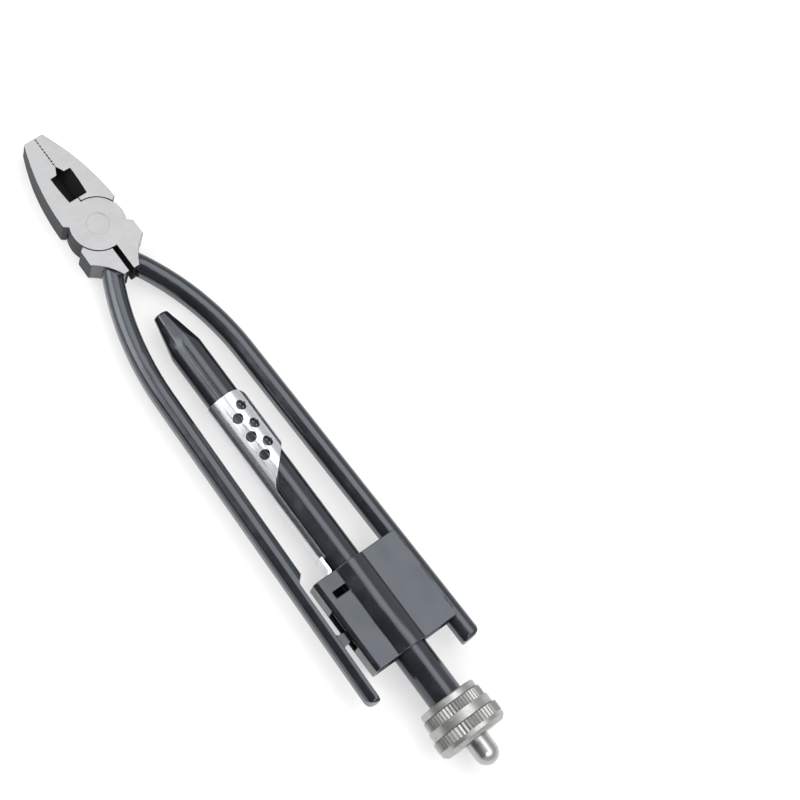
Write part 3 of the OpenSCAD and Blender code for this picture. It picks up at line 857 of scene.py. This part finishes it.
def joined(name: str, meshes: list[tuple[bpy.types.Mesh, Matrix]]) -> bpy.types.Mesh:
    """Joins placed meshes into one and turns all its faces outwards.

    Args:
        name: The new mesh's name.
        meshes: Each mesh and its place.

    Returns:
        The joined mesh, with the first mesh's finish.
    """
    work = bmesh.new()
    for mesh, place in meshes:
        mesh.transform(place)
        work.from_mesh(mesh)
    bmesh.ops.recalc_face_normals(work, faces=work.faces)
    made = bpy.data.meshes.new(name)
    made.materials.append(meshes[0][0].materials[0])
    work.to_mesh(made)
    work.free()
    return made


@dataclass
class Levers(Assembly):
    """The two forged levers and the rivet that joins them."""

    face_end: float = 20.3
    wall_end: float = 11.6
    # zones of painted shade: back end, front end and half width, measured from the pivot
    window: Triple = (11.5, 25.0, 4.5)
    crotch: Triple = (-25.5, -9.0, 2.2)
    head_edge: float = 0.25
    rivet_edge: float = 0.03
    crisp_radius: float = 6.2
    crisp_jaw: Span = (24.5, 0.9)
    crisp_tip: float = 36.9
    crisp_share: float = 0.12

    def build(self) -> None:
        """Dresses both levers and the rivet."""
        low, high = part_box("pivot_rivet")
        pivot = (low + high) / 2
        half = (high.z - low.z) / 2 / MM
        finish = LeverFinish(
            "forged_lever", pivot, half, self.face_end, self.wall_end, self.window, self.crotch
        ).material()
        shares = lever_edges(pivot, self.crisp_radius, self.crisp_jaw, self.crisp_tip, self.crisp_share)
        for lever in ("front_lever", "rear_lever"):
            self.dress(lever, finish, self.head_edge, weights=shares)
        self.dress("pivot_rivet", GroundFinish("rivet_steel").material(), self.rivet_edge)


@dataclass
class Housing(Assembly):
    """The folded housing, its weld beads and the two black tubes."""

    edge: float = 0.4
    edge_steps: int = 3
    tube_edge: float = 0.35
    plate_wave: float = 17.0
    plate_wave_depth: float = 1.3
    bead_starts: tuple[float, ...] = (0.08, 0.44, 0.8)
    bead_lengths: tuple[float, ...] = (0.125, 0.15, 0.11)
    bead_radius: float = 0.75
    bead_sink: float = 0.3
    bead_rough: float = 0.2
    lump_pitch: float = 1.0

    def build(self) -> None:
        """Dresses the shell and the tubes and lays the beads."""
        paint = PaintFinish().material()
        plates = PaintFinish("plate_paint", wave=self.plate_wave, wave_depth=self.plate_wave_depth)
        self.dress("housing_shell", plates.material(), self.edge, self.edge_steps)
        for tube in ("barrel", "nut_tube"):
            self.dress(tube, paint, self.tube_edge, self.edge_steps)
        self.lay_beads(PaintFinish("bead_paint", rough=self.bead_rough).material())

    def lay_beads(self, paint: bpy.types.Material) -> None:
        """Lays lumpy beads where both plates' edges meet the handle.

        Args:
            paint: The beads' finish.
        """
        low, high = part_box("housing_welds")
        back, front = (corner.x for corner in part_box("housing_shell"))
        radius = self.bead_radius * MM
        sink = self.bead_sink * radius
        beads = []
        for level in (low.z + sink, high.z - sink):
            for start, share in zip(self.bead_starts, self.bead_lengths):
                length = share * (front - back)
                lumps = round(length / MM / self.lump_pitch)
                mesh = weld_bead(length, radius, lumps, len(beads), paint)
                place = (front - start * (front - back) - length, high.y, level)
                beads.append((mesh, Matrix.Translation(place)))
        mesh = joined("weld_beads", beads)
        self.piece("weld_beads", mesh, Body.FRONT, Slot.BLACK, "housing_welds")


@dataclass
class Latch(Assembly):
    """The perforated slide and the hook that it locks."""

    slide_edge: float = 0.1
    hook_edge: float = 0.3
    weld_edge: float = 0.1
    weld_rough: float = 0.25
    zinc: PlateFinish = PlateFinish("bright_zinc", (0.82, 0.83, 0.85), (0.77, 0.785, 0.82), 0.25)

    def build(self) -> None:
        """Dresses the slide, the hook and the hook's welds."""
        self.dress("latch_slide", self.zinc.material(), self.slide_edge)
        self.dress("latch_hook", PaintFinish("hook_paint").material(), self.hook_edge)
        weld = PaintFinish("weld_paint", rough=self.weld_rough).material()
        self.dress("hook_weld", weld, self.weld_edge)


def fluted_rod(
    rod: "Twister", pivot: float, axis: float, material: bpy.types.Material
) -> bpy.types.Mesh:
    """A rod with spiral flutes and closed ends, without its journal and shank.

    Args:
        rod: The twister's sizes in millimetres.
        pivot: Place of the jaws' pivot along X in metres.
        axis: Height of the rod's axis in metres.
        material: Its finish.

    Returns:
        The rod's mesh in the row frame.
    """
    start, end = rod.flute_start * MM, rod.flute_end * MM
    step = (end - start) / (rod.rod_rows - 1 - ROD_CLOSING_ROWS)
    tree = GeometryTree(
        "fluted_rod",
        {
            "Start": start,
            "End": end,
            "Step": step,
            "Rows": rod.rod_rows,
            "Columns": rod.rod_columns,
            "Lead": rod.lead * MM,
            "Mean Radius": (rod.radius - rod.flute_depth / 2) * MM,
            "Flute Depth": rod.flute_depth * MM,
            "Flutes": rod.flutes,
            "Pivot": pivot,
            "Axis": axis,
        },
    )
    span = tree.size("End") - tree.size("Start") + ROD_CLOSING_ROWS * tree.size("Step")
    grid = tree.node(
        "GeometryNodeMeshGrid",
        inputs={
            "Size X": span,
            "Size Y": math.tau,
            "Vertices X": tree.size("Rows"),
            "Vertices Y": tree.size("Columns"),
        },
    )
    along, around, _ = tree.xyz(tree.node("GeometryNodeInputPosition"))
    raw = along + (tree.size("Start") + tree.size("End")) / 2
    reach = raw.math("MINIMUM", raw.math("MAXIMUM", raw, tree.size("Start")), tree.size("End"))
    inside = raw.math("COMPARE", raw, reach, tree.size("Step") / 2)
    wave = (around * tree.size("Flutes")).cos()
    radius = inside * (tree.size("Mean Radius") + tree.size("Flute Depth") / 2 * wave)
    angle = around + reach / tree.size("Lead") * math.tau
    place = tree.vector(
        tree.size("Pivot") - reach, radius * angle.sin(), tree.size("Axis") + radius * angle.cos()
    )
    moved = tree.node("GeometryNodeSetPosition", inputs={"Geometry": grid, "Position": place})
    merge = {"Geometry": moved, "Distance": MERGE_GAP}
    return tree.mesh(tree.node("GeometryNodeMergeByDistance", inputs=merge), material)


def coil(
    length: float, radius: float, wire: float, turns: int, material: bpy.types.Material
) -> bpy.types.Mesh:
    """A compression spring along Z from the origin, with its end turns wound close.

    Args:
        length: Length of the spring in metres.
        radius: Radius of the wire's middle line in metres.
        wire: Diameter of the wire in metres.
        turns: Number of turns.
        material: Its finish.

    Returns:
        The spring's mesh.
    """
    sizes = {"Length": length, "Radius": radius, "Wire": wire, "Turns": turns}
    tree = GeometryTree("coil", sizes | {"Closed Turns": COIL_CLOSED_TURNS})
    line = tree.node(
        "GeometryNodeCurveSpiral",
        inputs={
            "Resolution": COIL_STEPS,
            "Rotations": tree.size("Turns"),
            "Start Radius": tree.size("Radius"),
            "End Radius": tree.size("Radius"),
            "Height": tree.size("Length"),
        },
    )
    turn = tree.node("GeometryNodeSplineParameter") * tree.size("Turns")
    close, free = tree.size("Closed Turns"), tree.size("Turns") - 2 * tree.size("Closed Turns")
    tight = tree.size("Wire") * COIL_CLOSED_PITCH
    loose = (tree.size("Length") - tree.size("Wire") - 2 * close * tight) / free
    head = turn.math("MINIMUM", turn, close)
    middle = turn.math("MINIMUM", turn.math("MAXIMUM", turn - close, 0.0), free)
    tail = turn.math("MAXIMUM", turn - close - free, 0.0)
    height = tree.size("Wire") / 2 + (head + tail) * tight + middle * loose
    x, y, _ = tree.xyz(tree.node("GeometryNodeInputPosition"))
    place = {"Geometry": line, "Position": tree.vector(x, y, height)}
    placed = tree.node("GeometryNodeSetPosition", inputs=place)
    circle = {"Resolution": WIRE_SIDES, "Radius": tree.size("Wire") / 2}
    ring = tree.node("GeometryNodeCurvePrimitiveCircle", inputs=circle)
    sweep = {"Curve": placed, "Profile Curve": ring, "Fill Caps": True}
    return tree.mesh(tree.node("GeometryNodeCurveToMesh", inputs=sweep), material)


@dataclass
class Twister(Assembly):
    """The spiral spindle, its nut, the return spring and the small rings around it."""

    lead: float = 32.0
    flutes: int = 4
    radius: float = 3.3
    flute_depth: float = 0.8
    flute_start: float = 64.66
    flute_end: float = 206.9
    journal_radius: float = 1.7
    shank_gap: float = 0.03
    end_overlap: float = 1.0
    end_sides: int = 48
    rod_rows: int = 260
    rod_columns: int = 97
    spring_turns: int = 26
    wire: float = 0.8
    travel: float = 80.0
    nut_edge: float = 0.1
    seat_edge: float = 0.15
    ring_edge: float = 0.1
    steel: GroundFinish = GroundFinish("spindle_steel", rough=0.32, marks=0.3)
    drawn: PlateFinish = PlateFinish("spring_wire", (0.55, 0.55, 0.56), (0.48, 0.48, 0.49), 0.3)
    bronze: PlateFinish = PlateFinish("drive_bronze", (0.7, 0.46, 0.2), (0.6, 0.39, 0.17), 0.33)

    def build(self) -> None:
        """Dresses the nut and the rings and makes the spindle and the spring."""
        steel, wire = self.steel.material(), self.drawn.material()
        self.dress("drive_nut", self.bronze.material(), self.nut_edge)
        self.dress("spring_seat", steel, self.seat_edge)
        for ring in ("spindle_clip", "spring_washer"):
            self.dress(ring, wire, self.ring_edge)
        self.turn_spindle(steel)
        self.wind_spring(wire)

    def turn_spindle(self, steel: bpy.types.Material) -> None:
        """Makes the fluted spindle with its journal and shank.

        Args:
            steel: The spindle's finish.
        """
        low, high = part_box("twist_spindle")
        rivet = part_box("pivot_rivet")
        pivot, axis = (rivet[0].x + rivet[1].x) / 2, (low.z + high.z) / 2
        rod = fluted_rod(self, pivot, axis, steel)
        shank = (self.radius - self.flute_depth - self.shank_gap) * MM
        ends = [
            (high.x, pivot - (self.flute_start + self.end_overlap) * MM, self.journal_radius * MM),
            (pivot - (self.flute_end - self.end_overlap) * MM, low.x, shank),
        ]
        parts = [(rod, Matrix())]
        for right, left, radius in ends:
            sizes = {"Radius": radius, "Depth": right - left, "Vertices": self.end_sides}
            tree = GeometryTree("rod_end", sizes)
            inputs = {name: tree.size(name) for name in sizes}
            end = tree.mesh(tree.node("GeometryNodeMeshCylinder", inputs=inputs), steel)
            middle = Matrix.Translation(((left + right) / 2, 0, axis))
            parts.append((end, middle @ Matrix.Rotation(math.pi / 2, 4, "Y")))
        mesh = joined("fluted_spindle", parts)
        self.piece("fluted_spindle", mesh, Body.SPINDLE, Slot.STEEL, "twist_spindle")

    def wind_spring(self, wire: bpy.types.Material) -> None:
        """Winds the return spring as one fixed mesh; the real spring shortens towards its rear end as
        the knob is pulled.

        Args:
            wire: The spring's finish.
        """
        low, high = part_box("return_spring")
        length, axis = high.x - low.x, (low.z + high.z) / 2
        radius = (high.z - low.z) / 2 - self.wire / 2 * MM
        mesh = coil(length, radius, self.wire * MM, self.spring_turns, wire)
        mesh.transform(Matrix.Translation((low.x, 0, axis)) @ Matrix.Rotation(math.pi / 2, 4, "Y"))
        spring = self.piece("coil_spring", mesh, Body.FRONT, Slot.SPRING, "return_spring")
        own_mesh(spring)


@dataclass
class Knob(Assembly):
    """The knurled pull knob and its end post."""

    post_edge: float = 0.25
    knurl1: Triple = (2.75, 6.45, 11.35)
    knurl2: Triple = (10.1, 13.8, 12.8)
    nickel: Colour = (0.44, 0.437, 0.427)
    nickel_rough: float = 0.37
    polish: Colour = (0.46, 0.46, 0.46)
    polish_rough: float = 0.3
    polish_smear: float = 0.03

    def build(self) -> None:
        """Dresses the knob and the post."""
        low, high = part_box("pull_knob")
        mouth, axis = high.x / MM, (low.z + high.z) / 2 / MM
        bands = (self.knurl1, self.knurl2)
        knurls = tuple((mouth - end, mouth - start, top) for start, end, top in bands)
        nickel = TurnedFinish("satin_nickel", self.nickel, self.nickel_rough, axis, knurls=knurls)
        polished = TurnedFinish(
            "polished_post", self.polish, self.polish_rough, axis, smear=self.polish_smear
        )
        self.dress("pull_knob", nickel.material())
        self.dress("end_post", polished.material(), self.post_edge)


@dataclass(frozen=True)
class Softbox:
    """A rectangular light that looks at the tool and is brightest in its middle."""

    name: str
    lean: float
    along: float
    distance: float
    size: Span
    glow: float
    edge_drop: float = 0.45

    def build(self) -> None:
        """Adds the light. Its power follows from its glow, so that its size can change alone."""
        data = bpy.data.lights.new(self.name, "AREA")
        data.shape = "RECTANGLE"
        data.size, data.size_y = self.size
        data.energy = POWER_PER_GLOW * self.glow * self.size[0] * self.size[1]
        data.use_nodes = True
        tree = Tree(data.node_tree)
        wide, tall, _ = tree.xyz(tree.node("ShaderNodeNewGeometry", output="Parametric"))
        wide, tall = wide - 0.5, tall - 0.5
        far = (wide * wide + tall * tall) * 2
        cloth = tree.node("ShaderNodeEmission", inputs={"Strength": 1 - self.edge_drop * far})
        made = tree.tree.nodes.new("ShaderNodeOutputLight")
        tree.tree.links.new(cloth.socket, made.inputs["Surface"])
        lamp = bpy.data.objects.new(self.name, data)
        lean, along = math.radians(self.lean), math.radians(self.along)
        rise = math.cos(along)
        back = Vector((math.sin(along), math.sin(lean) * rise, math.cos(lean) * rise))
        across = Vector((1, 0, 0)) - back * back.x
        across.normalize()
        turn = Matrix((across, back.cross(across), back)).transposed().to_4x4()
        lamp.matrix_world = Matrix.Translation(back * self.distance) @ turn
        bpy.context.scene.collection.objects.link(lamp)


@dataclass
class Studio:
    """Plain floor, soft light and the camera at the photograph's angle."""

    floor_half: float = 3.0
    floor_colour: Colour = (0.95, 0.95, 0.95)
    floor_glow: float = 0.52
    rest_front: float = 0.1213
    rest_back: float = -0.1164
    sky_side: float = 0.6
    sky_dark: float = 0.07
    sky_edge: Span = (0.1, -0.5)
    sky_ends: Span = (0.25, 0.5)
    lens: float = 110.88
    sensor: float = 36
    clip: Span = (0.01, 100)
    aim: Vector = field(default_factory=lambda: Vector((-0.01408, -0.05127, 0.0128)))
    distance: float = 0.85637
    azimuth: float = -155.54
    elevation: float = 68.218
    roll: float = -29.87
    lights: tuple[Softbox, ...] = (
        Softbox("window", lean=-19, along=8, distance=1.2, size=(1.7, 0.8), glow=1.6, edge_drop=0.8),
        Softbox("front_panel", lean=37, along=31, distance=1.2, size=(0.75, 1.3), glow=2.7),
        Softbox("back_fill", lean=2, along=-28, distance=1.3, size=(0.75, 1.2), glow=2.6),
    )

    def build(self) -> None:
        """Sets up everything that isn't the tool."""
        bpy.context.scene.view_settings.view_transform = "Standard"
        self.lay_floor()
        self.light_world()
        for light in self.lights:
            light.build()
        self.place_camera()

    def lay_floor(self) -> None:
        """A pale floor on which the tool rests with its knob and the back of its head."""
        half = self.floor_half
        head_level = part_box("pivot_rivet")[0].z
        slope = head_level / (self.rest_front - self.rest_back)
        flat = [(-half, -half), (half, -half), (half, half), (-half, half)]
        mesh = bpy.data.meshes.new("floor")
        corners = [(x, y, slope * (x - self.rest_back)) for x, y in flat]
        mesh.from_pydata(corners, [], [(0, 1, 2, 3)])
        tree = ShaderTree("pale_floor")
        path = tree.node("ShaderNodeLightPath").socket.node
        kinds = ("Is Camera Ray", "Is Glossy Ray", "Is Transmission Ray")
        seen = sum(Value(tree, path.outputs[kind]) for kind in kinds)
        matt = tree.node("ShaderNodeBsdfDiffuse", inputs={"Color": (*self.floor_colour, 1)})
        glow = tree.node("ShaderNodeEmission", inputs={"Color": WHITE, "Strength": 1.0})
        factor = seen.math("MINIMUM", seen, 1.0) * self.floor_glow
        tree.node_output(tree.node("ShaderNodeMixShader", inputs={0: factor, 1: matt, 2: glow}))
        mesh.materials.append(tree.material)
        floor = bpy.data.objects.new("floor", mesh)
        bpy.context.scene.collection.objects.link(floor)

    def light_world(self) -> None:
        """A dim world that is lighter on the side of the window and past the tool's ends."""
        world = bpy.data.worlds.new("studio")
        world.use_nodes = True
        tree = Tree(world.node_tree)
        out, side, _ = tree.xyz(tree.node("ShaderNodeTexCoord", output="Generated"))
        ends = abs(out).step(*self.sky_ends)
        light = side.math("MAXIMUM", side.step(*self.sky_edge), ends)
        glow = self.sky_dark + (self.sky_side - self.sky_dark) * light
        sky = tree.node("ShaderNodeBackground", inputs={"Color": WHITE, "Strength": glow})
        made = tree.tree.nodes.new("ShaderNodeOutputWorld")
        tree.tree.links.new(sky.socket, made.inputs["Surface"])
        bpy.context.scene.world = world

    def place_camera(self) -> None:
        """Puts the camera where the photograph was taken from."""
        turn, rise, roll = (math.radians(a) for a in (self.azimuth, self.elevation, self.roll))
        flat = math.cos(rise)
        back = Vector((math.sin(turn) * flat, -math.cos(turn) * flat, math.sin(rise)))
        level = (-back).cross(Vector((0, 0, 1))).normalized()
        upright = level.cross(-back)
        up = upright * math.cos(roll) + level * math.sin(roll)
        right = (-back).cross(up)
        data = bpy.data.cameras.new("camera")
        data.lens = self.lens
        data.sensor_width = self.sensor
        data.clip_start, data.clip_end = self.clip
        camera = bpy.data.objects.new("camera", data)
        place = Matrix.Translation(self.aim + back * self.distance)
        camera.matrix_world = place @ Matrix((right, up, back)).transposed().to_4x4()
        bpy.context.scene.collection.objects.link(camera)
        bpy.context.scene.camera = camera


def clear_scene() -> None:
    """Removes the start-up objects."""
    for old in list(bpy.data.objects):
        bpy.data.objects.remove(old)


def main() -> None:
    """Builds the tool's sub-assemblies and the studio in order."""
    logging.basicConfig(level=logging.INFO, format="%(name)s: %(message)s")
    clear_scene()
    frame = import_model()
    smooth = smooth_tree()
    for kind in (Levers, Housing, Latch, Twister, Knob):
        assembly = kind(frame["nodes"], smooth)
        assembly.build()
        for piece in assembly.pieces:
            LOG.info("%s: %s", kind.__name__, piece)
    Studio().build()


if __name__ == "__main__":
    main()
